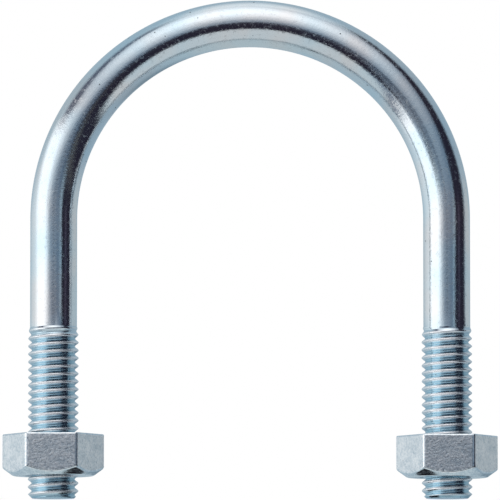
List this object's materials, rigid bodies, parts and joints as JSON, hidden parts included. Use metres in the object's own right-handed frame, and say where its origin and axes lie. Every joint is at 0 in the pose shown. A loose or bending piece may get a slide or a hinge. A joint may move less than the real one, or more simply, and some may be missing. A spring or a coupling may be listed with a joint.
{
  "type": "u-bolt",
  "caption": "Round bar bent to a half circle with a threaded leg at each end, each leg carrying a hex nut, for clamping a pipe to a plate.",
  "frame": {"origin": "on the axis of the clamped pipe, midway between the legs and level with the ends of the half circle", "axes": "+X across the legs to the right, +Y along the clamped pipe's axis, +Z from the leg ends to the top of the bow"},
  "size_m": [0.0952, 0.0172, 0.0959],
  "materials": {
    "zinc_bar": "bright zinc plate with blue passivation, glossy",
    "zinc_nut": "bright zinc plate with blue passivation, satin"
  },
  "bodies": {
    "u_bar": {"u_bar": "zinc_bar"},
    "left_nut_thread": {"left_nut_thread": "zinc_nut"},
    "left_nut": {"left_nut": "zinc_nut"},
    "right_nut_thread": {"right_nut_thread": "zinc_nut"},
    "right_nut": {"right_nut": "zinc_nut"}
  },
  "joints": [
    {"name": "left_nut_travel", "type": "slide", "parent": "u_bar", "child": "left_nut_thread", "axis": [0, 0, 1], "range_m": [-0.0122, 0.0197]},
    {"name": "left_nut_turn", "type": "hinge", "parent": "left_nut_thread", "child": "left_nut", "pos_m": [-0.03775, 0, -0.0454], "axis": [0, 0, 1], "range_deg": [-2880, 4680]},
    {"name": "right_nut_travel", "type": "slide", "parent": "u_bar", "child": "right_nut_thread", "axis": [0, 0, 1], "range_m": [-0.0122, 0.0197]},
    {"name": "right_nut_turn", "type": "hinge", "parent": "right_nut_thread", "child": "right_nut", "pos_m": [0.03775, 0, -0.0457], "axis": [0, 0, 1], "range_deg": [-2880, 4680]}
  ],
  "couplings": [
    {"joint": "left_nut_travel", "follows": "left_nut_turn", "m_per_rad": 0.00023873},
    {"joint": "right_nut_travel", "follows": "right_nut_turn", "m_per_rad": 0.00023873}
  ]
}
